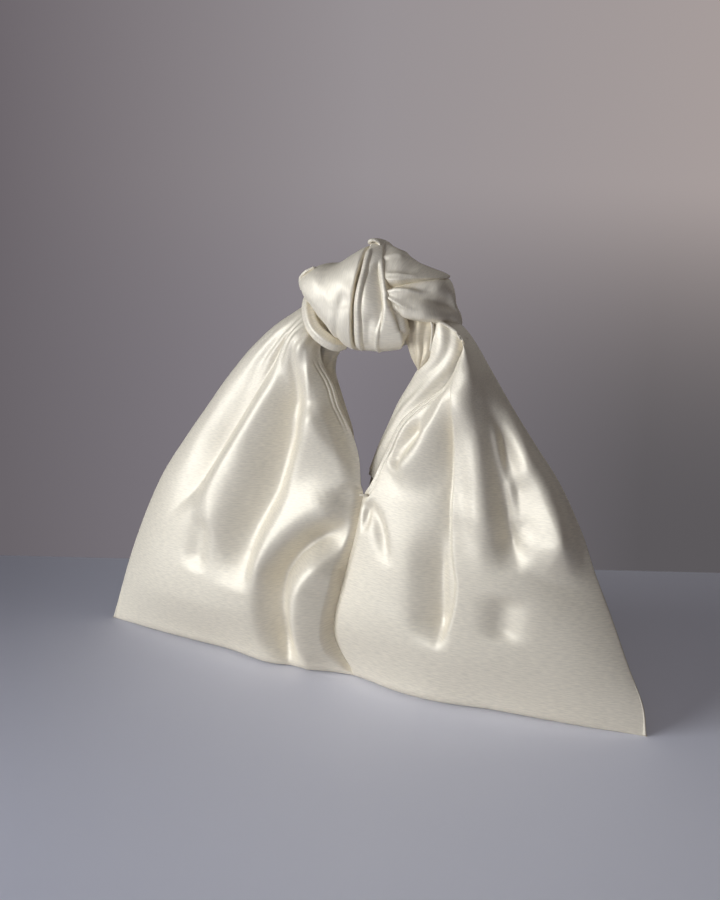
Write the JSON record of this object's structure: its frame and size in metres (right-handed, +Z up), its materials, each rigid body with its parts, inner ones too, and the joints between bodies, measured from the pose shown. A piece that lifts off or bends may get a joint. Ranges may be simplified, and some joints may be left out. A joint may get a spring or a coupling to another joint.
{
  "type": "japanese knot bag",
  "caption": "Lined satin handbag whose body gathers into two ears tied in a square knot, with a V-shaped hand gap under the knot that is also its mouth.",
  "frame": {"origin": "on the floor, at the middle of the bottom seam", "axes": "+X along the bottom seam to the wearer's right corner as pictured, the front faces -Y, +Z up to the knot"},
  "size_m": [0.38, 0.0698, 0.2872],
  "materials": {
    "satin": "ivory duchess satin, lustrous",
    "lining": "ivory satin lining, warmer and softer",
    "thread": "spun polyester thread"
  },
  "bodies": {
    "bag": {"outer_front_left": "satin", "outer_front_right": "satin", "outer_back_left": "satin", "outer_back_right": "satin", "lining_front_left": "lining", "lining_front_right": "lining", "lining_back_left": "lining", "lining_back_right": "lining", "left_neck": "satin", "right_neck": "satin", "bar_tack_front": "thread", "bar_tack_back": "thread"},
    "knot": {"left_bight": "satin", "right_bight": "satin", "left_tail": "satin", "right_tail": "satin"}
  },
  "joints": [
    {"name": "knot_tilt", "type": "hinge", "parent": "bag", "child": "knot", "pos_m": [0.009, 0, 0.226], "axis": [1, 0, 0], "range_deg": [-40, 40], "deforming": ["left_neck", "right_neck"]}
  ]
}
